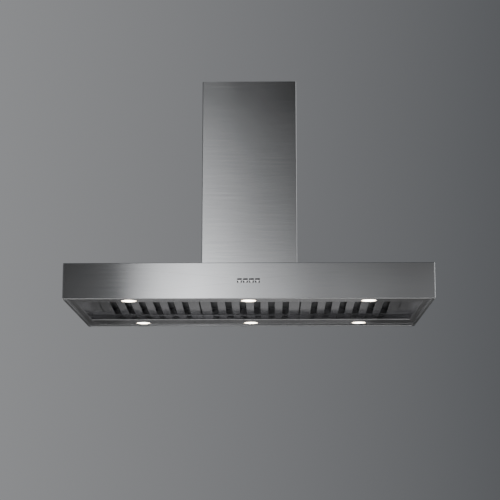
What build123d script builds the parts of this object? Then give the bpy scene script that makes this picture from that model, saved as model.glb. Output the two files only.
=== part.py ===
"""Island range hood: a flat brushed-steel canopy hung from the ceiling on a telescopic frame.

Millimetres, +Z up, +Y to the rear, +X to the right as seen from the front.
The origin is the centre of the ceiling plate's top face, so the whole hood hangs below z = 0.
Each sub-part is written to parts/NAME.step, in place in the assembly.
"""

from build123d import *
import math
import os

os.makedirs("parts", exist_ok=True)

# ---- Driving dimensions -------------------------------------------------------------------
CANOPY_W = 1200.0
CANOPY_D = 650.0
CANOPY_H = 118.0
TOTAL_H = 781.0
CHIMNEY_W = 320.0
SHEET = 1.2  # canopy and pan steel
SLEEVE_SHEET = 1.0  # chimney steel
BEND_R = 2.5  # outer radius of a folded edge

RIM_LIP = 12.0  # in-turned edge round the canopy's open bottom
TOP_LIP = 18.0  # in-turned edge round the canopy's top, over the deck
PAN_RISE = 4.0  # the light pans sit this far above the rim's lower edge
SIDE_STRIP = 33.0  # underside strip at each side, from the outer face
FRONT_PAN = 95.0  # underside strip in front, from the outer face
REAR_PAN = 147.0  # underside strip behind, from the outer face

SPOT_PITCH = 391.0
SPOT_INSET = 66.5  # spot centre from the canopy's front and rear faces
SPOT_LENS_R = 24.0
SPOT_COUNT = 3  # per pan

FILTER_COUNT = 3
FILTER_PITCH = 347.0
FILTER_GAP = 4.0
FILTER_TILT = 3.94  # degrees, front edge high, so grease runs to the rear rail
FILTER_THICK = 24.0
LEDGE = 8.0  # from the pivots back to the wall behind the filters
HINGE_UP = 3.0  # hinge studs above the filters' underside
STUD_R = 2.2
STUD_L = 1.2  # studs stand out this far from the filters' sides
BAFFLE_PITCH = 49.6
BAFFLE_W = 27.6
UPPER_W = 35.0
BAFFLE_SHEET = 0.8

BUTTON_COUNT = 4
BUTTON_PITCH = 19.3

SPIGOT_R = 75.0
SPIGOT_L = 50.0
LOWERING = 250.0  # how far the canopy can be hung below its highest setting

# ---- Derived levels and positions ---------------------------------------------------------
BOTTOM = -TOTAL_H
DECK = BOTTOM + CANOPY_H  # outside of the canopy's top
HALF_W = CANOPY_W / 2
HALF_D = CANOPY_D / 2
PAN_Z = BOTTOM + PAN_RISE
FRONT_WALL_Y = -HALF_D + FRONT_PAN
REAR_WALL_Y = HALF_D - REAR_PAN
SIDE_WALL_X = HALF_W - SIDE_STRIP
PIVOT_Y = REAR_WALL_Y - LEDGE
PIVOT_Z = BOTTOM + 21.8
SLOPE = math.tan(math.radians(FILTER_TILT))
LEDGE_Z = PIVOT_Z - LEDGE * SLOPE - 0.3
FILTERS_HALF = FILTER_COUNT * FILTER_PITCH / 2  # the filters' outer edge and half a gap
LEDGE_FRONT = PIVOT_Y + HINGE_UP  # far enough back to let the rails swing


def block(x0, x1, y0, y1, z0, z1):
    """A box between two corners."""
    middle = Pos((x0 + x1) / 2, (y0 + y1) / 2, (z0 + z1) / 2)
    return middle * Box(x1 - x0, y1 - y0, z1 - z0)


def rounded_block(x0, x1, y0, y1, z0, z1, corner, edge=0.0):
    """A box with its upright corners rounded, and its top and bottom edges too if edge is set."""
    body = block(x0, x1, y0, y1, z0, z1)
    body = fillet(body.edges().filter_by(Axis.Z), corner)
    if edge:
        level = body.faces().filter_by(Axis.Z).edges()
        body = fillet(level, edge)
    return body


def rod(axis, centre, radius, length):
    """A cylinder about centre, along "X", "Y" or "Z"."""
    turn = {"X": Rot(0, 90, 0), "Y": Rot(90, 0, 0), "Z": Rot(0, 0, 0)}[axis]
    return Pos(*centre) * turn * Cylinder(radius, length)


def section_along_x(points, x0, x1):
    """A closed outline of (y, z) points carried from x0 to x1."""
    face = Plane.YZ * make_face(Polyline(*points, close=True))
    return Pos(x0, 0, 0) * extrude(face, x1 - x0, dir=(1, 0, 0))


def save(name, *solids):
    """Writes one node, which may hold several separate solids."""
    whole = solids[0] if len(solids) == 1 else Compound(children=list(solids))
    export_step(whole, f"parts/{name}.step")


def filter_plane(y):
    """Height of the filters' underside at depth y."""
    return PIVOT_Z + (PIVOT_Y - y) * SLOPE


# ---- Ceiling mount ------------------------------------------------------------------------
PLATE_T = 2.0
PLATE_FLANGE = 25.0
PLATE_HALF = CHIMNEY_W / 2 - 2 * SLEEVE_SHEET - 1.0  # inner face of the upper sleeve
DUCT_HOLE = 200.0
ANCHOR_SPACING = 240.0
ANCHOR_R = 4.5
UPRIGHT_LEG = 25.0
UPRIGHT_T = 1.5
UPPER_FACE = PLATE_HALF - PLATE_T  # outer face of the upper uprights
LOWER_FACE = UPPER_FACE - UPRIGHT_T - 0.3
UPPER_END = -440.0  # lower end of the upper uprights and sleeve
LOCK_Z = -95.0  # locking screws, at the highest setting
LOCK_INSET = 14.0  # locking screws from the uprights' corner
SLOT_W = 6.0
LOCK_SCREW_R = 2.5


def ceiling_plate():
    """A shallow pan, open side down, with the duct opening and four anchor holes."""
    outer = rounded_block(-PLATE_HALF, PLATE_HALF, -PLATE_HALF, PLATE_HALF, -PLATE_FLANGE, 0, 2.5)
    inner_half = PLATE_HALF - PLATE_T
    inner = block(-inner_half, inner_half, -inner_half, inner_half, -PLATE_FLANGE - 1, -PLATE_T)
    duct = rounded_block(-DUCT_HOLE / 2, DUCT_HOLE / 2, -DUCT_HOLE / 2, DUCT_HOLE / 2, -10, 10, 12)
    pan = outer - inner - duct
    for sx in (-1, 1):
        for sy in (-1, 1):
            at = (sx * ANCHOR_SPACING / 2, sy * ANCHOR_SPACING / 2, 0)
            pan -= rod("Z", at, ANCHOR_R, 20)
    return pan


def upright(face, z0, z1, sx, sy):
    """An angle profile in one corner, its two outer faces at the given distance from the axis."""
    inside = face - UPRIGHT_T
    free = face - UPRIGHT_LEG
    outline = [
        (sx * face, sy * face),
        (sx * free, sy * face),
        (sx * free, sy * inside),
        (sx * inside, sy * inside),
        (sx * inside, sy * free),
        (sx * face, sy * free),
    ]
    face_2d = make_face(Polyline(*outline, close=True))
    return Pos(0, 0, z0) * extrude(face_2d, z1 - z0, dir=(0, 0, 1))


def lock_slot(sx, sy):
    """The long slot in an upper upright that a locking screw runs in."""
    y = sy * (UPPER_FACE - LOCK_INSET)
    top = LOCK_Z + 6
    bottom = LOCK_Z - LOWERING - 6
    x = sx * (UPPER_FACE - UPRIGHT_T / 2)
    thick = 2 * UPRIGHT_T
    straight = block(x - thick / 2, x + thick / 2, y - SLOT_W / 2, y + SLOT_W / 2, bottom, top)
    return straight + rod("X", (x, y, bottom), SLOT_W / 2, thick) + rod("X", (x, y, top), SLOT_W / 2, thick)


def lock_screw(sx, sy):
    """A low-headed screw through the slot, held in the lower upright."""
    y = sy * (UPPER_FACE - LOCK_INSET)
    head_in = UPPER_FACE + 0.3
    head = rod("X", (sx * (head_in + 0.7), y, LOCK_Z), 4.5, 1.4)
    shank_in = LOWER_FACE - 8
    shank = rod("X", (sx * (shank_in + head_in) / 2, y, LOCK_Z), LOCK_SCREW_R, head_in - shank_in)
    return head + shank


def square_sleeve(half, thick, z0, z1):
    """A four-sided sheet sleeve, open at both ends."""
    outer = rounded_block(-half, half, -half, half, z0, z1, BEND_R)
    inner_half = half - thick
    corner = max(BEND_R - thick, 0.5)
    return outer - rounded_block(
        -inner_half, inner_half, -inner_half, inner_half, z0 - 1, z1 + 1, corner
    )


CORNERS = [(-1, -1), (1, -1), (-1, 1), (1, 1)]
LOWER_TOP = -60.0
CHIMNEY_TOP = -2.0
upper_uprights, lower_uprights = [], []
for sx, sy in CORNERS:
    upper_uprights.append(upright(UPPER_FACE, UPPER_END, -PLATE_T, sx, sy) - lock_slot(sx, sy))
    hole = rod("X", (sx * LOWER_FACE, sy * (UPPER_FACE - LOCK_INSET), LOCK_Z), LOCK_SCREW_R, 10)
    lower_uprights.append(upright(LOWER_FACE, DECK, LOWER_TOP, sx, sy) - hole)

save("ceiling_plate", ceiling_plate())
save("upper_uprights", *upper_uprights)
save("lower_uprights", *lower_uprights)
save("height_lock_screws", *[lock_screw(sx, sy) for sx, sy in CORNERS])
save("upper_chimney", square_sleeve(PLATE_HALF + SLEEVE_SHEET, SLEEVE_SHEET, UPPER_END, -0.5))
save("lower_chimney", square_sleeve(CHIMNEY_W / 2, SLEEVE_SHEET, DECK, CHIMNEY_TOP))

# ---- Canopy -------------------------------------------------------------------------------
INLET_HOLE = 250.0
HEM_T = 1.6  # the lower lip's inner edge is hemmed upwards, this thick with a round fold
HEM_H = 3.8  # just short of the pans
CUTOUT_W = 15.0
CUTOUT_H = 14.5
BUTTON_Z = BOTTOM + CANOPY_H / 2


def button_x(i):
    """Centre of button i, counted from the left."""
    return (i - (BUTTON_COUNT - 1) / 2) * BUTTON_PITCH


def canopy_rim():
    """The canopy's four walls with in-turned lips, a hem on the lower one, and the button cut-outs."""
    rim = rounded_block(-HALF_W, HALF_W, -HALF_D, HALF_D, BOTTOM, DECK, BEND_R + 1, BEND_R - 0.5)
    in_w, in_d = HALF_W - SHEET, HALF_D - SHEET
    rim -= rounded_block(-in_w, in_w, -in_d, in_d, BOTTOM + SHEET, DECK - SHEET, BEND_R)
    hem_w, hem_d = HALF_W - RIM_LIP + HEM_T, HALF_D - RIM_LIP + HEM_T
    hem = rounded_block(-hem_w, hem_w, -hem_d, hem_d, BOTTOM, BOTTOM + HEM_H, 1.5 + HEM_T)
    rim += hem
    for lip, z0, z1 in ((RIM_LIP, BOTTOM - 1, BOTTOM + 5), (TOP_LIP, DECK - 2, DECK + 1)):
        rim -= rounded_block(-HALF_W + lip, HALF_W - lip, -HALF_D + lip, HALF_D - lip, z0, z1, 1.5)
    inner_fold = [
        edge for edge in rim.edges()
        if abs(edge.center().Z - BOTTOM) < 0.01
        and abs(edge.center().X) < HALF_W - RIM_LIP + 0.01 and abs(edge.center().Y) < HALF_D - RIM_LIP + 0.01
    ]
    rim = fillet(inner_fold, HEM_T)
    for i in range(BUTTON_COUNT):
        x = button_x(i)
        hole = block(
            x - CUTOUT_W / 2, x + CUTOUT_W / 2, -HALF_D - 2, -HALF_D + 4,
            BUTTON_Z - CUTOUT_H / 2, BUTTON_Z + CUTOUT_H / 2,
        )
        rim -= fillet(hole.edges().filter_by(Axis.Y), 1.2)
    return rim


def canopy_deck():
    """The flat top under the rim's upper lip: four sheet strips round the air inlet to the fan."""
    z0, z1 = DECK - 2 * SHEET, DECK - SHEET
    in_w, in_d, half = HALF_W - SHEET - 0.5, HALF_D - SHEET - 0.5, INLET_HOLE / 2
    strips = []
    for side in (-1, 1):
        strip = block(-in_w, in_w, *sorted((side * half, side * in_d)), z0, z1)
        outer = strip.edges().filter_by(Axis.Z).group_by(Axis.Y)[0 if side < 0 else -1]
        strips.append(fillet(outer, BEND_R))
        strips.append(block(*sorted((side * half, side * in_w)), -half, half, z0, z1))
    return strips


def base_ring():
    """A square frame between deck and uprights, in the hole left by the rim's lip."""
    outer, inner = CHIMNEY_W / 2 - SLEEVE_SHEET - 0.3, INLET_HOLE / 2
    ring = block(-outer, outer, -outer, outer, DECK - SHEET, DECK)
    return ring - block(-inner, inner, -inner, inner, DECK - 5, DECK + 5)


def chimney_clip(sx, along):
    """A small angle that holds the lower chimney down to the base ring."""
    face = CHIMNEY_W / 2 - SLEEVE_SHEET
    x0, x1 = sorted((sx * face, sx * (face - 1.5)))
    wall = block(x0, x1, along - 15, along + 15, DECK, DECK + 20)
    x0, x1 = sorted((sx * (face - 1.5), sx * (face - 16)))
    foot = block(x0, x1, along - 15, along + 15, DECK, DECK + 1.5)
    return wall + foot


save("canopy_rim", canopy_rim())
save("canopy_deck", *canopy_deck())
save("base_ring", base_ring())
save("chimney_clips", *[chimney_clip(sx, y) for sx in (-1, 1) for y in (-70.0, 70.0)])

# ---- Underside pans -----------------------------------------------------------------------
SPOT_Y = HALF_D - SPOT_INSET
SPOT_HOLE_R = SPOT_LENS_R + 1.8
UPSTAND = 18.0  # height of the pans' outer folds
WALL_TOP = BOTTOM + 62  # top of the tall wall in front of the filters
PAN_BEND = 1.8  # outer radius of the pans' lower folds
LUG_HALF = FILTER_GAP / 2 - 0.1
LUG_FRONT = 3.5  # how far the lugs reach in front of the pivots


def spot_x(i):
    """Centre of spot i, counted from the left."""
    return (i - (SPOT_COUNT - 1) / 2) * SPOT_PITCH


def spot_holes(y):
    """The cutters for one pan's row of spots."""
    return [rod("Z", (spot_x(i), y, PAN_Z), SPOT_HOLE_R, 10) for i in range(SPOT_COUNT)]


def bend(pan, run, across, level):
    """Rounds a pan's lower fold, a long edge along run at this place across it."""
    fold = [
        edge for edge in pan.edges().filter_by(run)
        if abs(edge.center().Z - level) < 0.01
        and abs((edge.center().Y if run == Axis.X else edge.center().X) - across) < 0.01
    ]
    return fillet(fold, PAN_BEND)


def front_light_pan():
    """Folded strip behind the front wall: outer upstand, flat for the spots, tall inner wall."""
    y_out, y_in = -HALF_D + SHEET, FRONT_WALL_Y
    z0, z1, z2 = PAN_Z, PAN_Z + UPSTAND, WALL_TOP
    outline = [
        (y_out, z0), (y_in, z0), (y_in, z2), (y_in - SHEET, z2), (y_in - SHEET, z0 + SHEET),
        (y_out + SHEET, z0 + SHEET), (y_out + SHEET, z1), (y_out, z1),
    ]
    pan = bend(section_along_x(outline, -SIDE_WALL_X + 0.3, SIDE_WALL_X - 0.3), Axis.X, y_in, z0)
    for hole in spot_holes(-SPOT_Y):
        pan -= hole
    return pan


def hinge_lug(x0, x1):
    """A plate on the ledge with a half-round notch, open above, for the filters' studs."""
    tilt = math.radians(FILTER_TILT)
    y, z = PIVOT_Y + HINGE_UP * math.sin(tilt), PIVOT_Z + HINGE_UP * math.cos(tilt)
    lug = block(x0, x1, PIVOT_Y - LUG_FRONT, REAR_WALL_Y + SHEET / 2, LEDGE_Z - SHEET, z)
    return lug - rod("X", ((x0 + x1) / 2, y, z), STUD_R + 0.1, x1 - x0 + 2)


def rear_light_pan():
    """Folded strip at the rear: upstand, flat for the spots, inner wall, filter ledge and lugs."""
    y_out, y_in = HALF_D - SHEET, REAR_WALL_Y
    z0, z1, z2 = PAN_Z, PAN_Z + UPSTAND, LEDGE_Z
    outline = [
        (y_out, z0), (y_in, z0), (y_in, z2 - SHEET), (LEDGE_FRONT, z2 - SHEET), (LEDGE_FRONT, z2),
        (y_in + SHEET, z2), (y_in + SHEET, z0 + SHEET), (y_out - SHEET, z0 + SHEET),
        (y_out - SHEET, z1), (y_out, z1),
    ]
    pan = bend(section_along_x(outline, -SIDE_WALL_X + 0.3, SIDE_WALL_X - 0.3), Axis.X, y_in, z0)
    for hole in spot_holes(SPOT_Y):
        pan -= hole
    for x in (-FILTER_PITCH / 2, FILTER_PITCH / 2):
        pan += hinge_lug(x - LUG_HALF, x + LUG_HALF)
    outer = FILTERS_HALF - FILTER_GAP / 2
    return pan + hinge_lug(outer + 0.2, FILTERS_HALF - 0.2) + hinge_lug(-FILTERS_HALF + 0.2, -outer - 0.2)


def tilted_strip(front, rear, height):
    """Outline of a strip that lies in the filters' underside plane, this high."""
    return [
        (rear, filter_plane(rear)), (front, filter_plane(front)),
        (front, filter_plane(front) + height), (rear, filter_plane(rear) + height),
    ]


def side_pan(side):
    """Folded strip at one side: flat underside, upstand, inner wall, and a filler by the filters."""
    y0, y1 = -HALF_D + SHEET + 0.3, HALF_D - SHEET - 0.3
    x_out = HALF_W - SHEET
    corner = 4.0
    strip = block(SIDE_WALL_X, x_out, y0, y1, PAN_Z, PAN_Z + SHEET)
    for y_a, y_b in ((y0 - 1, y0 + corner), (y1 - corner, y1 + 1)):
        strip -= block(x_out - corner, x_out + 1, y_a, y_b, PAN_Z - 1, PAN_Z + 2)
    upstand = block(x_out - SHEET, x_out, y0 + 10, y1 - 10, PAN_Z, PAN_Z + UPSTAND)
    front, rear = FRONT_WALL_Y + 0.3, LEDGE_FRONT - 0.3
    wall_outline = [
        (y0, PAN_Z), (y1, PAN_Z), (y1, PAN_Z + UPSTAND), (REAR_WALL_Y, PAN_Z + UPSTAND),
        (rear, filter_plane(rear)), (front, filter_plane(front)), (y0, filter_plane(front)),
    ]
    wall = section_along_x(wall_outline, SIDE_WALL_X, SIDE_WALL_X + SHEET)
    filler = section_along_x(tilted_strip(front, rear, SHEET), FILTERS_HALF, SIDE_WALL_X + SHEET)
    stiffener = section_along_x(tilted_strip(front, rear, 14), FILTERS_HALF, FILTERS_HALF + SHEET)
    pan = bend(strip + wall, Axis.Y, SIDE_WALL_X, PAN_Z) + upstand + filler + stiffener
    return pan if side > 0 else mirror(pan, about=Plane.YZ)


save("front_light_pan", front_light_pan())
save("rear_light_pan", rear_light_pan())
save("left_side_pan", side_pan(-1))
save("right_side_pan", side_pan(1))

# ---- LED spots ----------------------------------------------------------------------------
SPOT_FLANGE = 1.6  # how far the bezel ring stands below the pan
SPOT_RING_R = SPOT_LENS_R + 3.4
SPOT_CAN_R = SPOT_HOLE_R - 0.3
SPOT_BODY_H = 22.0


def spot_body(x, y):
    """A turned aluminium can with a bezel ring below the pan and cooling grooves above it."""
    ring = rod("Z", (x, y, PAN_Z - SPOT_FLANGE / 2), SPOT_RING_R, SPOT_FLANGE)
    ring = fillet(ring.edges().sort_by(Axis.Z)[0], 0.8)
    can = rod("Z", (x, y, PAN_Z + SPOT_BODY_H / 2), SPOT_CAN_R, SPOT_BODY_H)
    body = ring + can
    for k in range(3):
        at = (x, y, PAN_Z + 7 + 5 * k)
        body -= rod("Z", at, SPOT_CAN_R + 1, 2) - rod("Z", at, SPOT_CAN_R - 3, 2)
    seat_depth = SPOT_FLANGE + 3.0
    return body - rod("Z", (x, y, PAN_Z - SPOT_FLANGE + seat_depth / 2), SPOT_LENS_R, seat_depth)


def spot_lens(x, y):
    """The frosted glass disc in the can's mouth, a little domed below."""
    lens = rod("Z", (x, y, PAN_Z + 0.3), SPOT_LENS_R - 0.15, 2.2)
    return fillet(lens.edges().sort_by(Axis.Z)[0], 1.0)


for row, y in (("front", -SPOT_Y), ("rear", SPOT_Y)):
    for i, side in enumerate(("left", "centre", "right")):
        save(f"spot_body_{row}_{side}", spot_body(spot_x(i), y))
        save(f"spot_lens_{row}_{side}", spot_lens(spot_x(i), y))

# ---- Controls -----------------------------------------------------------------------------
KEY_W = 14.0
KEY_H = 9.4
KEY_CAP = 3.4  # height of the T-shaped key's crossbar
KEY_STEM = 7.4  # width of its stem
KEY_L = 7.0
KEY_RECESS = 0.4  # key face behind the fascia's outer face
KEY_DROP = 2.1  # middle of the key below the centre of its cut-out
PLUNGER_R = 2.0
PLUNGER_L = 7.0
HOUSING_T = 20.0
SWITCH_T = 3.5  # switches in front of the board, clear of a fully pressed plunger
FASCIA_BACK = -HALF_D + SHEET
HOUSING_FRONT = FASCIA_BACK + 0.1
HOUSING_BACK = HOUSING_FRONT + HOUSING_T
HOUSING_HALF = BUTTON_COUNT * BUTTON_PITCH / 2 + 6
KEY_Z = BUTTON_Z - KEY_DROP
KEY_FRONT = -HALF_D + KEY_RECESS
KEY_BACK = KEY_FRONT + KEY_L


def button(i):
    """A T-shaped steel key with softened edges and a plunger behind, sliding in the housing."""
    x, top = button_x(i), KEY_Z + KEY_H / 2
    cap = block(x - KEY_W / 2, x + KEY_W / 2, KEY_FRONT, KEY_BACK, top - KEY_CAP, top)
    key = cap + block(x - KEY_STEM / 2, x + KEY_STEM / 2, KEY_FRONT, KEY_BACK, top - KEY_H, top)
    key = fillet(key.edges().filter_by(Axis.Y), 0.8)
    key = fillet(key.faces().sort_by(Axis.Y)[0].edges(), 0.4)
    return key + rod("Y", (x, KEY_BACK + PLUNGER_L / 2, KEY_Z), PLUNGER_R, PLUNGER_L)


def switch_housing():
    """A black block behind the fascia with a square pocket and a plunger bore for each key."""
    box = rounded_block(
        -HOUSING_HALF, HOUSING_HALF, HOUSING_FRONT, HOUSING_BACK, BUTTON_Z - 15, BUTTON_Z + 15, 2
    )
    half_w, half_h = CUTOUT_W / 2 - 0.1, CUTOUT_H / 2 - 0.1
    pocket_end = KEY_BACK + 3.2
    for i in range(BUTTON_COUNT):
        x = button_x(i)
        box -= block(
            x - half_w, x + half_w, HOUSING_FRONT - 1, pocket_end, BUTTON_Z - half_h, BUTTON_Z + half_h
        )
        box -= rod("Y", (x, HOUSING_BACK - 10, KEY_Z), PLUNGER_R + 0.3, 21)
        box -= block(x - 4, x + 4, HOUSING_BACK - SWITCH_T - 1, HOUSING_BACK + 1, KEY_Z - 4, KEY_Z + 4)
    return box


def switch_board():
    """Circuit board on the housing's back, with a small sprung switch behind each plunger."""
    board = block(
        -HOUSING_HALF, HOUSING_HALF, HOUSING_BACK, HOUSING_BACK + 1.6, BUTTON_Z - 15, BUTTON_Z + 15
    )
    for i in range(BUTTON_COUNT):
        x = button_x(i)
        board += block(x - 3.5, x + 3.5, HOUSING_BACK - SWITCH_T, HOUSING_BACK, KEY_Z - 3.5, KEY_Z + 3.5)
    return board


for i, name in enumerate(("light_button", "low_speed_button", "high_speed_button", "stop_button")):
    save(name, button(i))
save("switch_housing", switch_housing())
save("switch_board", switch_board())

# ---- Baffle filters -----------------------------------------------------------------------
FILTER_W = FILTER_PITCH - FILTER_GAP
FILTER_FRONT = (FRONT_WALL_Y + 3.0 - PIVOT_Y) / math.cos(math.radians(FILTER_TILT))
FILTER_REAR = LEDGE - 1.0
RAIL_FRONT = 34.0
RAIL_REAR = 15.0
RAIL_SIDE = 36.5
FRAME_SHEET = 1.0


def at_filter(part, n):
    """Carries a part from the filter's own frame (pivot at the origin) to bay n."""
    x = (n - (FILTER_COUNT - 1) / 2) * FILTER_PITCH
    return Pos(x, PIVOT_Y, PIVOT_Z) * Rot(-FILTER_TILT, 0, 0) * part


def filter_frame():
    """A folded steel frame, open above and below between its rails, with two hinge studs."""
    half, y0, y1, t = FILTER_W / 2, FILTER_FRONT, FILTER_REAR, FRAME_SHEET
    frame = rounded_block(-half, half, y0, y1, 0, FILTER_THICK, 2.0, 0.8)
    frame -= block(-half + t, half - t, y0 + t, y1 - t, t, FILTER_THICK - t)
    frame -= block(
        -half + RAIL_SIDE, half - RAIL_SIDE, y0 + RAIL_FRONT, y1 - RAIL_REAR, -1, FILTER_THICK + 1
    )
    frame -= block(-12.5, 12.5, y0 + 8, y0 + 26, -1, 5)  # thumb slot for the latch
    frame -= block(-20.5, 20.5, y0 - 1, y0 + 3, t + 0.2, t + 3.6)  # where the tongue passes
    for k in range(-2, 3):  # grease drain holes in the rear rail
        frame -= rod("Z", (k * BAFFLE_PITCH, y1 - RAIL_REAR / 2, 0), 2.0, 4)
    stud_in = 4.0
    for side in (-1, 1):
        centre = (side * (half + (STUD_L - stud_in) / 2), 0, HINGE_UP)
        frame += rod("X", centre, STUD_R, STUD_L + stud_in)
    return frame


def channel(x, width, z0, z1, opens_up):
    """A U-section baffle lying front to back, between the end rails' flanges."""
    y0, y1, t = FILTER_FRONT + RAIL_FRONT - 6, FILTER_REAR - RAIL_REAR + 6, BAFFLE_SHEET
    outer = block(x - width / 2, x + width / 2, y0, y1, z0, z1)
    outer = fillet(outer.edges().filter_by(Axis.Y), 1.2)
    cut = (z0 + t, z1 + 3) if opens_up else (z0 - 3, z1 - t)
    return outer - block(x - width / 2 + t, x + width / 2 - t, y0 - 1, y1 + 1, *cut)


def lower_baffles():
    """The channels of the lower row, open upwards, with a slot at each side of each."""
    low = FRAME_SHEET + 0.1
    return [channel(k * BAFFLE_PITCH, BAFFLE_W, low, low + 9, True) for k in range(-2, 3)]


def upper_baffles():
    """The wider inverted channels of the upper row, one over each slot."""
    top = FILTER_THICK - FRAME_SHEET - 0.1
    return [channel((k - 2.5) * BAFFLE_PITCH, UPPER_W, top - 12, top, False) for k in range(6)]


def filter_latch():
    """A sliding tongue inside the front rail, with a thumb grip below it."""
    y0 = FILTER_FRONT
    tongue = block(-20, 20, y0 - 1.5, y0 + 18, FRAME_SHEET + 0.4, FRAME_SHEET + 3.4)
    grip = block(-10, 10, y0 + 9, y0 + 14, -7, FRAME_SHEET + 0.4)
    return tongue + fillet(grip.edges().filter_by(Axis.X).sort_by(Axis.Z)[0:2], 1.5)


for n, bay in enumerate(("left", "centre", "right")):
    save(f"filter_frame_{bay}", at_filter(filter_frame(), n))
    save(f"filter_lower_baffles_{bay}", *[at_filter(b, n) for b in lower_baffles()])
    save(f"filter_upper_baffles_{bay}", *[at_filter(b, n) for b in upper_baffles()])
    save(f"filter_latch_{bay}", at_filter(filter_latch(), n))

# ---- Fan ----------------------------------------------------------------------------------
BOX_HALF = INLET_HOLE / 2 + 4
BOX_TOP = DECK + 290.0
BOX_SHEET = 1.0
FAN_X = -32.0
FAN_Z = BOX_TOP - BOX_SHEET - 120.0
WHEEL_R = 67.0
WHEEL_HALF = 52.0
SCROLL_HALF = 60.0
SCROLL_SHEET = 1.0
SCROLL_RIGHT = 97.0  # scroll radius where it meets the outlet's outer wall
SCROLL_TONGUE = 77.0  # scroll radius at the tongue
TONGUE_DEG = 105.0
OUTLET_HALF = 65.0
FAN_INLET_R = 55.0
MOTOR_R = 34.0
SHAFT_R = 4.0
BLADES = 28
MOTOR_FRONT = -SCROLL_HALF - 12
MOTOR_REAR = WHEEL_HALF - 18


def fan_box():
    """The sheet casing over the deck's inlet, closed above but for the outlet."""
    half, inner = BOX_HALF, BOX_HALF - BOX_SHEET
    box = rounded_block(-half, half, -half, half, DECK, BOX_TOP, 2.0)
    box -= block(-inner, inner, -inner, inner, DECK - 1, BOX_TOP - BOX_SHEET)
    return box - rod("Z", (0, 0, BOX_TOP), SPIGOT_R - 2, 10)


def scroll_outline(grow):
    """Spiral from the tongue round to the outlet's outer wall, then up both outlet walls."""
    steps = 24
    turn = 360.0 - TONGUE_DEG
    spiral = []
    for k in range(steps + 1):
        angle = math.radians(TONGUE_DEG + turn * k / steps)
        radius = SCROLL_TONGUE + (SCROLL_RIGHT - SCROLL_TONGUE) * k / steps + grow
        spiral.append((FAN_X + radius * math.cos(angle), FAN_Z + radius * math.sin(angle)))
    top = BOX_TOP - BOX_SHEET + (1 if grow < 0 else 0)
    outer = (FAN_X + SCROLL_RIGHT + grow, top)
    inner = (FAN_X + SCROLL_RIGHT - 2 * OUTLET_HALF - grow, top)
    curve = Spline(*spiral)
    walls = Polyline(spiral[-1], outer, inner, spiral[0])
    return make_face(curve + walls)


def prism_along_y(face, half):
    """An outline drawn in x and z, carried from -half to +half in y."""
    return Pos(0, half, 0) * extrude(Plane.XZ * face, 2 * half, dir=(0, -1, 0))


def blower_housing():
    """The scroll casing with a bell-mouth hole in front and a shaft hole behind."""
    shell = prism_along_y(scroll_outline(0), SCROLL_HALF)
    shell -= prism_along_y(scroll_outline(-SCROLL_SHEET), SCROLL_HALF - SCROLL_SHEET)
    shell -= rod("Y", (FAN_X, -SCROLL_HALF, FAN_Z), FAN_INLET_R, 10)
    return shell


def impeller():
    """A squirrel-cage wheel: rear disc and hub, forward-curved blades as flat slats, front ring."""
    disc = rod("Y", (FAN_X, WHEEL_HALF - 0.75, FAN_Z), WHEEL_R, 1.5)
    hub = rod("Y", (FAN_X, WHEEL_HALF - 7, FAN_Z), 9, 14)
    ring = rod("Y", (FAN_X, -WHEEL_HALF + 1.5, FAN_Z), WHEEL_R, 3)
    ring -= rod("Y", (FAN_X, -WHEEL_HALF + 1.5, FAN_Z), WHEEL_R - 11, 4)
    wheel = disc + hub + ring
    for k in range(BLADES):
        blade = Pos(WHEEL_R - 6, 0, 0) * Rot(0, 25, 0) * Box(9, 2 * WHEEL_HALF - 2, 1.2)
        wheel += Pos(FAN_X, 0, FAN_Z) * Rot(0, 360.0 * k / BLADES, 0) * blade
    return wheel - rod("Y", (FAN_X, WHEEL_HALF, FAN_Z), SHAFT_R + 0.05, 40)


def motor():
    """The motor can inside the wheel, with its shaft through the wheel's hub."""
    can = rod("Y", (FAN_X, (MOTOR_FRONT + MOTOR_REAR) / 2, FAN_Z), MOTOR_R, MOTOR_REAR - MOTOR_FRONT)
    can = fillet(can.edges().filter_by(GeomType.CIRCLE), 3)
    shaft_end = WHEEL_HALF + 4
    return can + rod("Y", (FAN_X, (MOTOR_REAR - 5 + shaft_end) / 2, FAN_Z), SHAFT_R, shaft_end - MOTOR_REAR + 5)


def motor_bracket():
    """A ring on the motor's front end with three arms out to the scroll's front sheet."""
    y0, y1 = MOTOR_FRONT + 2, -SCROLL_HALF
    arms = Part()
    for k in range(3):
        arm = Pos(0, 0, (MOTOR_R + FAN_INLET_R + 10) / 2) * Box(12, 2, FAN_INLET_R + 10 - MOTOR_R)
        foot = Pos(0, (y1 - y0 - 2) / 2, FAN_INLET_R + 7) * Box(12, y1 - y0, 8)
        arms += Rot(0, 120.0 * k, 0) * (arm + foot)
    bracket = Pos(FAN_X, y0 + 1, FAN_Z) * arms
    collar = rod("Y", (FAN_X, y0 + 1, FAN_Z), MOTOR_R + 4, 2)
    return bracket + collar - rod("Y", (FAN_X, y0, FAN_Z), MOTOR_R, 20)


save("fan_box", fan_box())
save("blower_housing", blower_housing())
save("impeller", impeller())
save("fan_motor", motor())
save("motor_bracket", motor_bracket())

# ---- Outlet spigot and back-draught flaps -------------------------------------------------
SPIGOT_T = 1.2
PIN_R = 1.5
PIN_X = 4.5
FLAP_Z = BOX_TOP + 18.0
FLAP_R = SPIGOT_R - SPIGOT_T - 1.0
FLAP_T = 1.2


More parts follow.
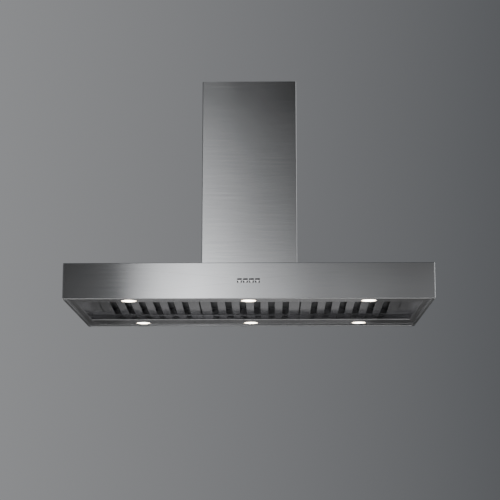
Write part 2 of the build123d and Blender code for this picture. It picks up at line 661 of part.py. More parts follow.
def outlet_spigot():
    """The round duct collar with a square flange on the fan box."""
    tube = rod("Z", (0, 0, BOX_TOP + SPIGOT_L / 2), SPIGOT_R, SPIGOT_L)
    flange = rounded_block(-95, 95, -95, 95, BOX_TOP, BOX_TOP + SPIGOT_T, 8)
    spigot = tube + flange - rod("Z", (0, 0, BOX_TOP + SPIGOT_L / 2), SPIGOT_R - SPIGOT_T, SPIGOT_L + 20)
    stop_top = FLAP_Z - FLAP_T / 2 - 0.2
    for side in (-1, 1):
        x0, x1 = sorted((side * (FLAP_R - 5), side * (SPIGOT_R - 0.5)))
        spigot += block(x0, x1, -6, 6, stop_top - 2, stop_top)
    return spigot


def flap_pin(side):
    """A rod across the spigot that one flap hangs on."""
    half = math.sqrt((SPIGOT_R - SPIGOT_T) ** 2 - PIN_X ** 2) - 0.3
    return rod("Y", (side * PIN_X, 0, FLAP_Z), PIN_R, 2 * half)


def pin_bracket(y_side):
    """A small saddle inside the spigot wall that carries the ends of both pins."""
    wall = math.sqrt((SPIGOT_R - SPIGOT_T) ** 2 - (PIN_X + 5) ** 2) - 0.2
    y0, y1 = sorted((y_side * wall, y_side * (wall - 5)))
    saddle = block(-PIN_X - 5, PIN_X + 5, y0, y1, BOX_TOP + 1, FLAP_Z + 4)
    for side in (-1, 1):
        saddle -= rod("Y", (side * PIN_X, (y0 + y1) / 2, FLAP_Z), PIN_R, 12)
    return saddle


def damper_flap(side):
    """A half disc with a rolled eye round its pin."""
    disc = rod("Z", (0, 0, FLAP_Z), FLAP_R, FLAP_T)
    keep = block(*sorted((side * (PIN_X + 2.4), side * 100)), -100, 100, FLAP_Z - 5, FLAP_Z + 5)
    eye_half = 58.0
    eye = rod("Y", (side * PIN_X, 0, FLAP_Z), PIN_R + 1.5, 2 * eye_half)
    flap = (disc & keep) + eye
    flap -= rod("Y", (side * PIN_X, 0, FLAP_Z), PIN_R + 0.06, 200)
    for y_side in (-1, 1):  # room for the saddles
        y0, y1 = sorted((y_side * 62.0, y_side * SPIGOT_R))
        flap -= block(*sorted((side * -2, side * (PIN_X + 7))), y0, y1, FLAP_Z - 5, FLAP_Z + 5)
    return flap


save("outlet_spigot", outlet_spigot())
save("damper_pins", flap_pin(-1), flap_pin(1))
save("damper_pin_saddles", pin_bracket(-1), pin_bracket(1))
save("damper_flap_left", damper_flap(-1))
save("damper_flap_right", damper_flap(1))

# ---- Electrics ----------------------------------------------------------------------------
UNDER_DECK = DECK - 2 * SHEET


def control_box():
    """The fan and light control, screwed under the deck at the left, with two cable glands."""
    box = rounded_block(-430, -300, 60, 160, UNDER_DECK - 40, UNDER_DECK, 5)
    for y in (85, 110):
        box += rod("X", (-296, y, UNDER_DECK - 20), 8, 8) + rod("X", (-290, y, UNDER_DECK - 20), 5, 8)
    return box


def led_driver():
    """The lights' constant-current supply, under the deck at the right."""
    body = rounded_block(300, 430, 90, 140, UNDER_DECK - 30, UNDER_DECK, 4)
    feet = rounded_block(288, 442, 105, 125, UNDER_DECK - 3, UNDER_DECK, 3)
    return body + feet


def terminal_box():
    """The mains terminal box on the fan casing's right side, with a gland on top."""
    box = rounded_block(BOX_HALF, BOX_HALF + 22, -45, 45, -470, -400, 3)
    return box + rod("Z", (BOX_HALF + 11, 0, -394), 8, 12)


save("control_box", control_box())
save("led_driver", led_driver())
save("mains_terminal_box", terminal_box())
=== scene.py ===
import bmesh
import bpy
import numpy as np
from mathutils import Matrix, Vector


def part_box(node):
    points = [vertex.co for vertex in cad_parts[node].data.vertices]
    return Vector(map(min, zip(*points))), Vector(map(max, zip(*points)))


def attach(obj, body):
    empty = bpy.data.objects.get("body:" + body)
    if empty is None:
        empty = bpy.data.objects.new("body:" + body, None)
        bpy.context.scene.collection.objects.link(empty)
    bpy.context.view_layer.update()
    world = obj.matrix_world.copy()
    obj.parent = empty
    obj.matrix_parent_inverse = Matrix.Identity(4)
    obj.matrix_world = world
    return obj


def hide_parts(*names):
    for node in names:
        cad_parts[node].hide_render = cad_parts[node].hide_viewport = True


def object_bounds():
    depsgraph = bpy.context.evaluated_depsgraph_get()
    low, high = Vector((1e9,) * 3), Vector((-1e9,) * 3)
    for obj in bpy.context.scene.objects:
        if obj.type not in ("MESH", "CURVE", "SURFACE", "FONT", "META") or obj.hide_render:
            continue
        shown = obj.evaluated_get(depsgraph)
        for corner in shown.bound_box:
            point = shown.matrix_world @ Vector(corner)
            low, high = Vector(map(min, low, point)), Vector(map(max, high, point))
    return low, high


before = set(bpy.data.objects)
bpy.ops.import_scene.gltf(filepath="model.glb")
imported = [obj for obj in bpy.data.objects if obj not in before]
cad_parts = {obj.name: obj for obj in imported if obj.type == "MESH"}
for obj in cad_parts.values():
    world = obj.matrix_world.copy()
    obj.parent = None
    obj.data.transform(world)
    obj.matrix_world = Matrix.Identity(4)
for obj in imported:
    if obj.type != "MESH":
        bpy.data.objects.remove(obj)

cad_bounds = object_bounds()
MM = 0.001

# ---- Ceiling mount ------------------------------------------------------------------------
# A pressed plate and four angle uprights of galvanised sheet, bolted to the ceiling.
# The lower uprights slide inside the upper ones, and low-headed screws lock them.


def srgb(hex_colour):
    """Turns a hex colour such as "8a8d90" into linear red, green, blue and alpha."""
    coded = np.array([int(hex_colour[k:k + 2], 16) for k in (0, 2, 4)]) / 255
    linear = np.where(coded <= 0.04045, coded / 12.92, ((coded + 0.055) / 1.055) ** 2.4)
    return (*linear.tolist(), 1.0)


def add_node(tree, kind, settings=None, sockets=None, stops=()):
    """Adds a node: settings are its own properties, sockets are values or outputs to link.

    A colour ramp's stops are (position, hex colour) or (position, brightness).
    """
    node = tree.nodes.new(kind)
    for name, value in (settings or {}).items():
        setattr(node, name, value)
    for k, (position, tone) in enumerate(stops):
        band = node.color_ramp.elements
        stop = band[k] if k < 2 else band.new(position)
        stop.position = position
        stop.color = srgb(tone) if isinstance(tone, str) else (tone, tone, tone, 1.0)
    for name, value in (sockets or {}).items():
        if isinstance(value, bpy.types.NodeSocket):
            tree.links.new(value, node.inputs[name])
        else:
            node.inputs[name].default_value = value
    return node


def new_finish(name):
    """An empty material with its shader and its object coordinates."""
    finish = bpy.data.materials.new(name)
    finish.use_nodes = True
    tree = finish.node_tree
    tree.nodes.clear()
    shader = add_node(tree, "ShaderNodeBsdfPrincipled")
    add_node(tree, "ShaderNodeOutputMaterial", sockets={"Surface": shader.outputs["BSDF"]})
    place = add_node(tree, "ShaderNodeTexCoord").outputs["Object"]
    return finish, tree, shader, place


def set_shader(shader, **values):
    """Sets constants on the shader's own sockets; an underscore in a name stands for a space."""
    for name, value in values.items():
        shader.inputs[name.replace("_", " ").title().replace("Ior", "IOR")].default_value = value


def wear(node_name, finish):
    """Gives a carried-over node its finish on every slot."""
    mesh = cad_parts[node_name].data
    mesh.materials.clear()
    mesh.materials.append(finish)


def galvanised_sheet():
    """Hot-dipped zinc on mild steel: spangle crystals about 9 mm across, each its own grey."""
    finish, tree, shader, place = new_finish("galvanised_mild_steel")
    spangle = add_node(
        tree, "ShaderNodeTexVoronoi", {"feature": "F1"},
        {"Vector": place, "Scale": 1 / (9 * MM), "Randomness": 1.0},
    )
    grey = add_node(tree, "ShaderNodeSeparateColor", sockets={"Color": spangle.outputs["Color"]})
    tone = add_node(
        tree, "ShaderNodeValToRGB", sockets={"Fac": grey.outputs["Red"]},
        stops=[(0, "7f8386"), (1, "a4a8ab")],
    ).outputs["Color"]
    rough = add_node(
        tree, "ShaderNodeMapRange", sockets={"Value": grey.outputs["Green"], "To Min": 0.32, "To Max": 0.5}
    )
    tree.links.new(tone, shader.inputs["Base Color"])
    tree.links.new(rough.outputs["Result"], shader.inputs["Roughness"])
    set_shader(shader, metallic=1.0)
    return finish


def zinc_plating():
    """Bright electroplated zinc on screws and pins, with a soft cloudy sheen at about 3 mm."""
    finish, tree, shader, place = new_finish("bright_zinc_plate")
    cloud = add_node(tree, "ShaderNodeTexNoise", sockets={"Vector": place, "Scale": 1 / (3 * MM)})
    tone = add_node(
        tree, "ShaderNodeValToRGB", sockets={"Fac": cloud.outputs["Fac"]},
        stops=[(0.3, "a9a9a2"), (0.7, "c6c6c0")],
    ).outputs["Color"]
    tree.links.new(tone, shader.inputs["Base Color"])
    set_shader(shader, metallic=1.0, roughness=0.28)
    return finish


galvanised = galvanised_sheet()
zinc = zinc_plating()
for name in ("ceiling_plate", "upper_uprights", "lower_uprights", "base_ring", "chimney_clips"):
    wear(name, galvanised)
wear("height_lock_screws", zinc)

# ---- Chimney sleeves ----------------------------------------------------------------------
# Two square sleeves folded from 1 mm stainless steel, the upper one inside the lower one.
# The sheet is brushed round the sleeve, so its lines run level on all four sides.

BRUSH_LENGTH = 45 * MM  # a brush line's usual length
BRUSH_WIDTH = 0.35 * MM
STREAK_WIDTH = 2.6 * MM  # bundles of lines, drawn coarse because single lines are too fine to show
ROUGH_SWING = 0.03  # how far handling marks vary the roughness


def brushed_stainless(name, along, rough, light, dark, spread):
    """Stainless sheet with a belt-brushed finish whose lines run along one axis.

    Two noises are stretched along the lines: one as fine as the lines, one as wide as a bundle
    of them. They vary tone and roughness a little, and the highlight spreads across the lines.
    """
    finish, tree, shader, place = new_finish(name)
    across = {"X": (0, 1, 1), "Y": (1, 0, 1), "XY": (0, 0, 1)}[along]
    fields = []
    for width, length, detail in ((BRUSH_WIDTH, BRUSH_LENGTH, 2), (STREAK_WIDTH, 4 * BRUSH_LENGTH, 3)):
        scale = [1 / width if way else 1 / length for way in across]
        lines = add_node(tree, "ShaderNodeMapping", sockets={"Vector": place, "Scale": scale})
        noise = add_node(
            tree, "ShaderNodeTexNoise",
            sockets={"Vector": lines.outputs["Vector"], "Scale": 1.0, "Detail": detail},
        )
        fields.append(noise.outputs["Fac"])
    grain = add_node(
        tree, "ShaderNodeMix", {"data_type": "FLOAT"}, {"Factor": 0.6, "A": fields[0], "B": fields[1]}
    ).outputs["Result"]
    tone = add_node(
        tree, "ShaderNodeValToRGB", sockets={"Fac": grain}, stops=[(0.32, dark), (0.68, light)]
    ).outputs["Color"]
    rubbed = add_node(
        tree, "ShaderNodeTexNoise", sockets={"Vector": place, "Scale": 1 / (160 * MM), "Detail": 1.0}
    )
    smear = add_node(
        tree, "ShaderNodeMix", {"data_type": "FLOAT"},
        {"Factor": 0.4, "A": grain, "B": rubbed.outputs["Fac"]},
    ).outputs["Result"]
    roughness = add_node(
        tree, "ShaderNodeMapRange",
        sockets={
            "Value": smear, "From Min": 0.3, "From Max": 0.7,
            "To Min": rough - ROUGH_SWING, "To Max": rough + ROUGH_SWING,
        },
    )
    relief = add_node(
        tree, "ShaderNodeBump", sockets={"Height": grain, "Strength": 0.12, "Distance": 0.05 * MM}
    )
    spread_way = (1.0, 0.02, 0.02) if along == "Y" else (0.0, 0.1, 1.0)
    tangent = add_node(tree, "ShaderNodeCombineXYZ", sockets=dict(zip("XYZ", spread_way)))
    tree.links.new(tone, shader.inputs["Base Color"])
    tree.links.new(roughness.outputs["Result"], shader.inputs["Roughness"])
    tree.links.new(relief.outputs["Normal"], shader.inputs["Normal"])
    tree.links.new(tangent.outputs["Vector"], shader.inputs["Tangent"])
    set_shader(shader, metallic=1.0, anisotropic=spread)
    return finish


skin_steel = brushed_stainless("brushed_stainless_skin", "XY", 0.13, "cacbcd", "bdbfc2", 0.8)
for name in ("upper_chimney", "lower_chimney"):
    wear(name, skin_steel)

# ---- Canopy -------------------------------------------------------------------------------
# A shallow box of 1.2 mm stainless steel: four walls with in-turned edges and a flat top sheet.

for name in ("canopy_rim", "canopy_deck"):
    wear(name, skin_steel)

# ---- Underside pans -----------------------------------------------------------------------
# Folded stainless strips round the recess. Each is brushed along its own length, as it was cut.

pan_steel = brushed_stainless("brushed_stainless_pan", "X", 0.15, "c0c0c3", "b2b2b5", 0.6)
side_steel = brushed_stainless("brushed_stainless_side_pan", "Y", 0.24, "b4b4b7", "a6a6a9", 0.6)
for name in ("front_light_pan", "rear_light_pan"):
    wear(name, pan_steel)
for name in ("left_side_pan", "right_side_pan"):
    wear(name, side_steel)

# ---- LED spots ----------------------------------------------------------------------------
# Turned aluminium cans with a satin bezel, each closed by a frosted glass lens that is lit.

ROWS = ("front", "rear")
SIDES = ("left", "centre", "right")
AROUND = 72  # points round a turned solid
SHARP_ANGLE = np.radians(32)  # edges that bend more than this stay sharp


def satin_aluminium():
    """Turned and bead-blasted aluminium, with tool marks about 0.4 mm apart."""
    finish, tree, shader, place = new_finish("satin_turned_aluminium")
    grit = add_node(
        tree, "ShaderNodeTexNoise", sockets={"Vector": place, "Scale": 1 / (0.4 * MM), "Detail": 2.0}
    )
    tone = add_node(
        tree, "ShaderNodeValToRGB", sockets={"Fac": grit.outputs["Fac"]},
        stops=[(0.3, "bfc1c4"), (0.7, "d2d4d6")],
    ).outputs["Color"]
    tree.links.new(tone, shader.inputs["Base Color"])
    set_shader(shader, metallic=1.0, roughness=0.34)
    return finish


def lit_frosted_glass():
    """Acid-frosted glass over warm white LEDs: nearly white in the middle, warmer near the rim."""
    finish, tree, shader, place = new_finish("frosted_glass_lit")
    rim_share = add_node(tree, "ShaderNodeAttribute", {"attribute_name": "rim_share"})
    frost = add_node(
        tree, "ShaderNodeTexNoise", sockets={"Vector": place, "Scale": 1 / (1.2 * MM), "Detail": 2.0}
    )
    mottle = add_node(
        tree, "ShaderNodeMix", {"data_type": "FLOAT"},
        {"Factor": 0.1, "A": rim_share.outputs["Fac"], "B": frost.outputs["Fac"]},
    )
    tone = add_node(
        tree, "ShaderNodeValToRGB", sockets={"Fac": mottle.outputs["Result"]},
        stops=[(0.5, "fff9ee"), (0.95, "ffe9c8")],
    ).outputs["Color"]
    tree.links.new(tone, shader.inputs["Base Color"])
    tree.links.new(tone, shader.inputs["Emission Color"])
    set_shader(shader, roughness=0.35, emission_strength=14.0)
    return finish


def turned(name, profile, base, axis):
    """A turned solid: point (i, j) is profile[i] = (radius, height) in mm, swung 2 pi j / AROUND.

    Heights run from base along axis, +Z or +Y. A point attribute holds each point's share of the
    greatest radius.
    """
    radius, height = np.array(profile).T * MM
    angle = np.linspace(0, 2 * np.pi, AROUND, endpoint=False)
    side_a, side_b = radius[:, None] * np.cos(angle), radius[:, None] * np.sin(angle)
    rise = np.broadcast_to(height[:, None], side_a.shape)
    ways = {"Z": (side_a, side_b, rise), "Y": (side_b, rise, side_a)}[axis]
    points = np.stack(ways, -1).reshape(-1, 3) + np.array(base)
    i, j = np.meshgrid(np.arange(len(radius) - 1), np.arange(AROUND), indexing="ij")
    ahead = (j + 1) % AROUND
    this, above = i * AROUND, (i + 1) * AROUND
    quads = np.stack([this + j, this + ahead, above + ahead, above + j], -1)
    mesh = bpy.data.meshes.new(name)
    mesh.from_pydata(points.tolist(), [], quads.reshape(-1, 4).tolist())
    share = mesh.attributes.new("rim_share", "FLOAT", "POINT")
    share.data.foreach_set("value", np.repeat(radius / radius.max(), AROUND).astype(np.float32))
    weld = bmesh.new()
    weld.from_mesh(mesh)
    bmesh.ops.remove_doubles(weld, verts=weld.verts, dist=0.001 * MM)
    bmesh.ops.recalc_face_normals(weld, faces=weld.faces)
    weld.to_mesh(mesh)
    weld.free()
    mesh.polygons.foreach_set("use_smooth", [True] * len(mesh.polygons))
    mesh.set_sharp_from_angle(angle=SHARP_ANGLE)
    piece = bpy.data.objects.new(name, mesh)
    bpy.context.scene.collection.objects.link(piece)
    return piece


def stand_for(piece, node, body, finish):
    """The piece shows instead of a CAD node, rides its body and wears the finish."""
    piece.data.materials.append(finish)
    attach(piece, body)
    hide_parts(node)


def place_under(node):
    """The middle of a CAD node's underside."""
    low_corner, high_corner = (np.array(corner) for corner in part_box(node))
    return np.array([*(low_corner + high_corner)[:2] / 2, low_corner[2]])


SPOT_RING = 27.4  # bezel radius in mm; heights below are from its underside
SPOT_BORE = 24.0
SPOT_CAN = 25.5
SPOT_HEIGHT = 23.6
SPOT_GROOVES = (8.6, 13.6, 18.6)
spot_profile = [
    (0, 4.6), (SPOT_BORE, 4.6), (SPOT_BORE, 1.9), (26.1, 0.2), (26.4, 0.03), (26.7, 0),
    (27.0, 0.1), (27.3, 0.45), (SPOT_RING, 0.9), (SPOT_RING, 1.35), (27.2, 1.6), (SPOT_CAN, 1.6),
]
for groove in SPOT_GROOVES:
    spot_profile += [
        (SPOT_CAN, groove - 1.2), (SPOT_CAN - 0.2, groove - 1), (SPOT_CAN - 3, groove - 1),
        (SPOT_CAN - 3, groove + 1), (SPOT_CAN - 0.2, groove + 1), (SPOT_CAN, groove + 1.2),
    ]
spot_profile += [(SPOT_CAN, SPOT_HEIGHT - 0.6), (SPOT_CAN - 0.6, SPOT_HEIGHT), (0, SPOT_HEIGHT)]

LENS_R = 23.85
LENS_DOME = 0.9  # how far the middle stands below the rim
LENS_THICK = 2.2
RIPPLE = 0.04  # height of the moulded rings, RIPPLE_PITCH apart
RIPPLE_PITCH = 2.4
lens_radii = np.linspace(0, LENS_R - 0.4, 60)
lens_heights = LENS_DOME * (lens_radii / LENS_R) ** 2
lens_heights += RIPPLE * (1 - np.cos(2 * np.pi * lens_radii / RIPPLE_PITCH)) / 2
lens_profile = list(zip(lens_radii, lens_heights))
lens_profile += [
    (LENS_R - 0.1, 1.0), (LENS_R, 1.3), (LENS_R, LENS_THICK - 0.2), (LENS_R - 0.2, LENS_THICK),
    (0, LENS_THICK),
]

aluminium = satin_aluminium()
lens_glass = lit_frosted_glass()
for row in ROWS:
    for side in SIDES:
        can, lens = f"spot_body_{row}_{side}", f"spot_lens_{row}_{side}"
        stand_for(
            turned(f"turned_spot_{row}_{side}", spot_profile, place_under(can), "Z"),
            can, "canopy", aluminium,
        )
        stand_for(
            turned(f"domed_lens_{row}_{side}", lens_profile, place_under(lens), "Z"),
            lens, "canopy", lens_glass,
        )

# ---- Controls -----------------------------------------------------------------------------
# Four T-shaped polished steel keys in a black switch housing behind square cut-outs.


def moulded_plastic(name, light, dark, rough):
    """Injection-moulded ABS with a fine spark-eroded texture, about 0.5 mm between pits."""
    finish, tree, shader, place = new_finish(name)
    pits = add_node(
        tree, "ShaderNodeTexNoise", sockets={"Vector": place, "Scale": 1 / (0.5 * MM), "Detail": 2.0}
    )
    tone = add_node(
        tree, "ShaderNodeValToRGB", sockets={"Fac": pits.outputs["Fac"]},
        stops=[(0.3, dark), (0.7, light)],
    ).outputs["Color"]
    relief = add_node(
        tree, "ShaderNodeBump",
        sockets={"Height": pits.outputs["Fac"], "Strength": 0.3, "Distance": 0.05 * MM},
    )
    tree.links.new(tone, shader.inputs["Base Color"])
    tree.links.new(relief.outputs["Normal"], shader.inputs["Normal"])
    set_shader(shader, roughness=rough)
    return finish


def polished_steel():
    """Stainless steel polished to a near mirror, with hairline scratches."""
    finish, tree, shader, place = new_finish("polished_stainless")
    hairs = add_node(
        tree, "ShaderNodeTexNoise", sockets={"Vector": place, "Scale": 1 / (1.5 * MM), "Detail": 3.0}
    )
    tone = add_node(
        tree, "ShaderNodeValToRGB", sockets={"Fac": hairs.outputs["Fac"]},
        stops=[(0.3, "d6d6d8"), (0.7, "e6e6e8")],
    ).outputs["Color"]
    tree.links.new(tone, shader.inputs["Base Color"])
    set_shader(shader, metallic=1.0, roughness=0.16)
    return finish


BUTTONS = ("light_button", "low_speed_button", "high_speed_button", "stop_button")
black_abs = moulded_plastic("black_abs", "1b1b1d", "131315", 0.45)
key_steel = polished_steel()
for name in BUTTONS:
    wear(name, key_steel)
wear("switch_housing", black_abs)


def solder_resist():
    """Green lacquer on glass-fibre board, with a faint weave 0.8 mm apart."""
    finish, tree, shader, place = new_finish("solder_resist_board")
    weave = add_node(
        tree, "ShaderNodeTexChecker",
        sockets={
            "Vector": place, "Scale": 1 / (0.8 * MM),
            "Color1": srgb("0f4a28"), "Color2": srgb("12552f"),
        },
    )
    tree.links.new(weave.outputs["Color"], shader.inputs["Base Color"])
    set_shader(shader, roughness=0.3)
    return finish


wear("switch_board", solder_resist())

# ---- Baffle filters -----------------------------------------------------------------------
# Each filter is a stainless frame with two rows of channels. The frame and the lower row are
# brushed along their length; the hidden upper row is dull steel coloured dark grey as painted shade.


def painted_shade_steel():
    """Dull stainless whose dark grey tone is painted shade inside the filter; faint clouds about 5 mm."""
    finish, tree, shader, place = new_finish("stainless_painted_shade")
    cloud = add_node(
        tree, "ShaderNodeTexNoise", sockets={"Vector": place, "Scale": 1 / (5 * MM), "Detail": 3.0}
    )
    tone = add_node(
        tree, "ShaderNodeValToRGB", sockets={"Fac": cloud.outputs["Fac"]},
        # dark grey stops: painted shade of the filter's hidden upper channels, not the steel's own colour
        stops=[(0.3, "636466"), (0.7, "707173")],
    ).outputs["Color"]
    tree.links.new(tone, shader.inputs["Base Color"])
    set_shader(shader, metallic=1.0, roughness=0.42)
    return finish


filter_steel = brushed_stainless("brushed_stainless_baffle", "Y", 0.2, "b6b6b9", "a8a8ab", 0.6)
shaded_baffle_steel = painted_shade_steel()
for side in SIDES:
    for part in ("frame", "lower_baffles", "latch"):
        wear(f"filter_{part}_{side}", filter_steel)
    # the upper channels wear steel darkened as painted shade
    wear(f"filter_upper_baffles_{side}", shaded_baffle_steel)

# ---- Fan, outlet and electrics ------------------------------------------------------------
# Inside the chimney: a galvanised casing and scroll, a moulded wheel on an enamelled motor,
# a black spigot with two flaps. Two control boxes sit under the deck.


def baked_enamel():
    """Black baked enamel on the motor's steel can, with orange peel about 2 mm across."""
    finish, tree, shader, place = new_finish("black_baked_enamel")
    peel = add_node(tree, "ShaderNodeTexNoise", sockets={"Vector": place, "Scale": 1 / (2 * MM)})
    tone = add_node(
        tree, "ShaderNodeValToRGB", sockets={"Fac": peel.outputs["Fac"]},
        stops=[(0.3, "202224"), (0.7, "2a2c2e")],
    ).outputs["Color"]
    relief = add_node(
        tree, "ShaderNodeBump",
        sockets={"Height": peel.outputs["Fac"], "Strength": 0.2, "Distance": 0.1 * MM},
    )
    tree.links.new(tone, shader.inputs["Base Color"])
    tree.links.new(relief.outputs["Normal"], shader.inputs["Normal"])
    set_shader(shader, roughness=0.3)
    return finish


grey_abs = moulded_plastic("grey_abs", "8d8f92", "828487", 0.5)
for name in ("fan_box", "blower_housing", "motor_bracket"):
    wear(name, galvanised)
wear("led_driver", grey_abs)


BLADES = 28
BLADE_STEPS = 8
BLADE_DEPTH = 10.5 * MM  # from a blade's inner edge to the wheel's outside
BLADE_SHEET = 0.9 * MM
BLADE_LEAN = 0.05  # radians that a blade turns over its run, evenly
BLADE_CURVE = 0.09  # and with the square of the run
HUB_R = 9  # in mm, as are the hub's length and the shaft's bore
HUB_LENGTH = 14
SHAFT_BORE = 4.1


def squirrel_cage(name, centre, half, outer, shaft):
    """A blower wheel about the Y axis: a rear disc with a hub, a front ring, and curved blades.

    Disc, hub and ring are one profile swung round. A blade's middle line runs from the inner to
    the outer radius while its angle grows with the square of that run, so it curves forward; the
    line is thickened by half a sheet to each side and carried from ring to disc.
    """
    inner = outer - BLADE_DEPTH
    reach = np.linspace(0, 1, BLADE_STEPS + 1)
    radius = inner + (outer - inner - 0.6 * MM) * reach
    points, faces = [], []
    for blade in range(BLADES):
        angle = 2 * np.pi * blade / BLADES + BLADE_LEAN * reach + BLADE_CURVE * reach ** 2
        line = np.stack([radius * np.cos(angle), radius * np.sin(angle)], 1)
        run = np.gradient(line, axis=0)
        normal = np.stack([-run[:, 1], run[:, 0]], 1) / np.linalg.norm(run, axis=1)[:, None]
        offset = normal * BLADE_SHEET / 2
        loop = np.concatenate([line + offset, (line - offset)[::-1]])
        start, count = len(points), len(loop)
        for depth in (-half + 1 * MM, half - 1 * MM):
            points += [(x, depth, z) for x, z in loop]
        faces += [
            (start + k, start + (k + 1) % count, start + count + (k + 1) % count, start + count + k)
            for k in range(count)
        ]
    mesh = bpy.data.meshes.new(name)
    mesh.from_pydata((np.array(points) + centre).tolist(), [], faces)
    cage = bpy.data.objects.new(name, mesh)
    bpy.context.scene.collection.objects.link(cage)
    wide, deep = outer / MM, 2 * half / MM
    hub_end = deep - HUB_LENGTH
    rear = [
        (shaft, hub_end), (HUB_R, hub_end), (HUB_R, deep - 3), (HUB_R + 2, deep - 1.5),
        (wide - 1, deep - 1.5), (wide, deep - 1.2), (wide, deep), (shaft, deep), (shaft, hub_end),
    ]
    ring = [(wide - 11, 0), (wide, 0), (wide, 3), (wide - 11, 3), (wide - 11, 0)]
    front_end = centre - np.array([0, half, 0])
    solids = [turned(name + "_part", profile, front_end, "Y") for profile in (rear, ring)]
    merged = bmesh.new()
    for solid in (cage, *solids):
        merged.from_mesh(solid.data)
    bmesh.ops.recalc_face_normals(merged, faces=merged.faces)
    merged.to_mesh(mesh)
    merged.free()
    for solid in solids:
        bpy.data.objects.remove(solid)
    mesh.polygons.foreach_set("use_smooth", [True] * len(mesh.polygons))
    mesh.set_sharp_from_angle(angle=SHARP_ANGLE)
    return cage


wheel_low, wheel_high = (np.array(corner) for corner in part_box("impeller"))
wheel_span = wheel_high - wheel_low
wheel_middle = (wheel_low + wheel_high) / 2
wheel = squirrel_cage(
    "curved_blade_wheel", wheel_middle, wheel_span[1] / 2, wheel_span[0] / 2, SHAFT_BORE
)
stand_for(wheel, "impeller", "fan_wheel", grey_abs)
for name in (
    "outlet_spigot", "damper_flap_left", "damper_flap_right", "damper_pin_saddles", "control_box",
    "mains_terminal_box",
):
    wear(name, black_abs)
wear("damper_pins", zinc)
wear("fan_motor", baked_enamel())

# ---- Studio -------------------------------------------------------------------------------
# A pale floor below, a grey surround that darkens to the right, and soft light from overhead.
# Glowing cards that only reflections show stand round it: the front one is like a bright window
# and one hangs low behind. A grey card that only reflections show lies on the floor in front.

HOOD_BOTTOM = cad_bounds[0][2]
FLOOR_DROP = 1.75
FLOOR_HALF = 60.0


def grid_sheet(name, corner, along, up, columns, rows):
    """A flat grid: point (i, j) is corner + i/columns of along + j/rows of up."""
    i, j = np.meshgrid(np.arange(columns + 1), np.arange(rows + 1))
    points = (
        np.array(corner) + (i / columns)[..., None] * np.array(along) + (j / rows)[..., None] * np.array(up)
    )
    first = (np.arange(rows)[:, None] * (columns + 1) + np.arange(columns)[None, :]).ravel()
    quads = np.stack([first, first + 1, first + columns + 2, first + columns + 1], 1)
    mesh = bpy.data.meshes.new(name)
    mesh.from_pydata(points.reshape(-1, 3).tolist(), [], quads.tolist())
    sheet = bpy.data.objects.new(name, mesh)
    bpy.context.scene.collection.objects.link(sheet)
    return sheet


floor = grid_sheet(
    "studio_floor", (-FLOOR_HALF, -FLOOR_HALF, HOOD_BOTTOM - FLOOR_DROP), (2 * FLOOR_HALF, 0, 0),
    (0, 2 * FLOOR_HALF, 0), 4, 4,
)
floor_paint, floor_tree, floor_shader, floor_place = new_finish("pale_matt_floor")
floor_noise = add_node(floor_tree, "ShaderNodeTexNoise", sockets={"Vector": floor_place, "Scale": 1.5})
floor_tone = add_node(
    floor_tree, "ShaderNodeValToRGB", sockets={"Fac": floor_noise.outputs["Fac"]},
    stops=[(0.3, "d2d1ce"), (0.7, "d8d7d4")],
)
floor_tree.links.new(floor_tone.outputs["Color"], floor_shader.inputs["Base Color"])
set_shader(floor_shader, roughness=0.85)
floor.data.materials.append(floor_paint)

grey_card = grid_sheet(
    "grey_card", (-4, -7.2, HOOD_BOTTOM - FLOOR_DROP + 0.02), (8, 0, 0), (0, 3.6, 0), 4, 4
)
card_felt, felt_tree, felt_shader, felt_place = new_finish("grey_felt")
felt_pile = add_node(felt_tree, "ShaderNodeTexNoise", sockets={"Vector": felt_place, "Scale": 200.0})
felt_tone = add_node(
    felt_tree, "ShaderNodeValToRGB", sockets={"Fac": felt_pile.outputs["Fac"]},
    stops=[(0.3, "808080"), (0.7, "8c8c8c")],
)
felt_tree.links.new(felt_tone.outputs["Color"], felt_shader.inputs["Base Color"])
set_shader(felt_shader, roughness=1.0)
grey_card.data.materials.append(card_felt)
grey_card.visible_camera = False
grey_card.visible_diffuse = False
grey_card.visible_shadow = False


def glow_card(name, corner, along, up, across_stops, upward_stops, strength):
    """A card seen only in reflections, whose glow is one ramp across it times one ramp up it.

    A ramp's stops are (place in metres along X, Y or Z, share of the strength).
    """
    card = grid_sheet(name, corner, along, up, 1, 1)
    way = 0 if along[0] else 1
    glow = bpy.data.materials.new(name)
    glow.use_nodes = True
    tree = glow.node_tree
    tree.nodes.clear()
    place = add_node(tree, "ShaderNodeTexCoord").outputs["Object"]
    axes = add_node(tree, "ShaderNodeSeparateXYZ", sockets={"Vector": place})
    shades = []
    for axis, start, span, stops in (
        ("XY"[way], corner[way], along[way], across_stops), ("Z", corner[2], up[2], upward_stops),
    ):
        share = add_node(
            tree, "ShaderNodeMapRange",
            sockets={"Value": axes.outputs[axis], "From Min": start, "From Max": start + span},
        )
        band = add_node(
            tree, "ShaderNodeValToRGB", sockets={"Fac": share.outputs["Result"]},
            stops=[((position - start) / span, level) for position, level in stops],
        )
        shades.append(band.outputs["Color"])
    product = add_node(
        tree, "ShaderNodeMix", {"data_type": "RGBA", "blend_type": "MULTIPLY"}, {"Factor": 1.0}
    )
    tree.links.new(shades[0], product.inputs["A"])
    tree.links.new(shades[1], product.inputs["B"])
    emission = add_node(
        tree, "ShaderNodeEmission", sockets={"Color": product.outputs["Result"], "Strength": strength}
    )
    add_node(tree, "ShaderNodeOutputMaterial", sockets={"Surface": emission.outputs["Emission"]})
    card.data.materials.append(glow)
    card.visible_camera = False
    card.visible_diffuse = False
    card.visible_shadow = False
    card.visible_transmission = False


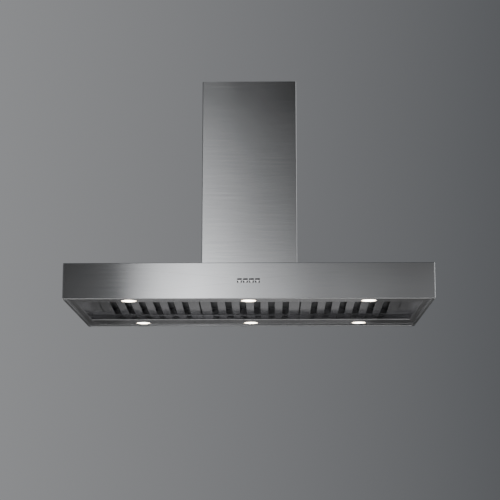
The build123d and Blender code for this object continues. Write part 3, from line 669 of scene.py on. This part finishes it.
CARD_FOOT = -2.45  # height of the standing cards' lower edges
FRONT_ACROSS = [
    (-7, 0.15), (-2.2, 0.02), (-1.2, 0.06), (-0.9, 0.7), (-0.6, 1.0), (-0.1, 0.4), (0.4, 0.17),
    (1.3, 0.08), (7, 0.4),
]
FRONT_UPWARD = [
    (-2.4, 0.05), (-1.5, 0.3), (-0.7, 0.1), (0.1, 1.0), (0.5, 1.0), (0.7, 0.35), (1.4, 0.25),
    (2.0, 0.15), (2.4, 0.03), (6, 0.1),
]
FRONT_STRENGTH = 3.6
glow_card(
    "front_card", (-7.0, -7.5, CARD_FOOT), (14.0, 0, 0), (0, 0, 9.0),
    FRONT_ACROSS, FRONT_UPWARD, FRONT_STRENGTH,
)

REAR_ACROSS = [(-2, 0.3), (-0.66, 0.34), (-0.58, 0.8), (0, 1.0), (0.5, 0.85), (0.56, 0.34), (2, 0.3)]
REAR_UPWARD = [(-1.9, 0.34), (-1.2, 0.38), (-1.12, 1.0), (-1.07, 0.6), (-1.03, 0.1), (-0.95, 0.07)]
REAR_STRENGTH = 0.6
glow_card(
    "rear_card", (-2.0, 1.6, -1.9), (4.0, 0, 0), (0, 0, 1.0), REAR_ACROSS, REAR_UPWARD, REAR_STRENGTH
)

SIDE_ACROSS = [(-7, 0.5), (-1.1, 0.3), (-0.3, 1.0), (0.3, 0.7), (1.1, 0.25), (7, 0.7)]
SIDE_UPWARD = [(-2.4, 0.3), (-0.4, 0.8), (0.3, 1.0), (1.5, 0.5), (7, 0.4)]
glow_card(
    "right_card", (9.0, -7.0, CARD_FOOT), (0, 14.0, 0), (0, 0, 9.5), SIDE_ACROSS, SIDE_UPWARD, 0.75
)
glow_card(
    "left_card", (-9.0, -7.0, CARD_FOOT), (0, 14.0, 0), (0, 0, 9.5), SIDE_ACROSS, SIDE_UPWARD, 0.5
)

BACK_ACROSS = [(-9, 0.4), (-1, 1.0), (3, 0.6), (9, 0.4)]
BACK_UPWARD = [(-0.1, 0.4), (1, 1.0), (7, 0.5)]
glow_card(
    "back_card", (-9.0, 9.0, -0.2), (18.0, 0, 0), (0, 0, 7.2), BACK_ACROSS, BACK_UPWARD, 0.5
)

world = bpy.data.worlds.new("grey_surround")
bpy.context.scene.world = world
world.use_nodes = True
world.node_tree.nodes.clear()
sky_axes = add_node(
    world.node_tree, "ShaderNodeSeparateXYZ",
    sockets={"Vector": add_node(world.node_tree, "ShaderNodeTexCoord").outputs["Generated"]},
)
sky_share = add_node(
    world.node_tree, "ShaderNodeMapRange",
    sockets={"Value": sky_axes.outputs["X"], "From Min": -0.2, "From Max": 0.2},
)
sky_tone = add_node(
    world.node_tree, "ShaderNodeValToRGB", sockets={"Fac": sky_share.outputs["Result"]},
    stops=[(0.0, "8f9092"), (1.0, "55575a")],
)
surround = add_node(
    world.node_tree, "ShaderNodeBackground", sockets={"Color": sky_tone.outputs["Color"], "Strength": 1.0}
)
add_node(world.node_tree, "ShaderNodeOutputWorld", sockets={"Surface": surround.outputs["Background"]})


def soft_light(name, place, target, size, watts, mirrored=True):
    """A square area light at place, turned to face target; steel shows its image if mirrored."""
    data = bpy.data.lights.new(name, "AREA")
    data.size = size
    data.energy = watts
    light = bpy.data.objects.new(name, data)
    light.location = place
    light.rotation_euler = (Vector(target) - Vector(place)).to_track_quat("-Z", "Y").to_euler()
    light.visible_glossy = mirrored
    bpy.context.scene.collection.objects.link(light)


soft_light("overhead_light", (0, -0.5, 4.0), (0, 0, 0), 4.0, 420, mirrored=False)
soft_light("left_light", (-4.5, -3.0, 1.0), (0, 0, -0.6), 2.5, 90, mirrored=False)
soft_light("right_light", (4.5, 2.0, 1.0), (0, 0, -0.6), 2.5, 60)

camera_data = bpy.data.cameras.new("camera")
camera_data.lens = 97.91
camera_data.sensor_width = 36  # in mm, like the lens
camera_data.shift_y = 0.04
camera = bpy.data.objects.new("camera", camera_data)
camera.location = (0.0684, -4.635, HOOD_BOTTOM - 0.6861)
CAMERA_TILT = 0.1789  # radians up from level
CAMERA_PAN = 0.0147  # radians to the left
camera.rotation_euler = (np.pi / 2 + CAMERA_TILT, 0, CAMERA_PAN)
bpy.context.scene.collection.objects.link(camera)
bpy.context.scene.camera = camera
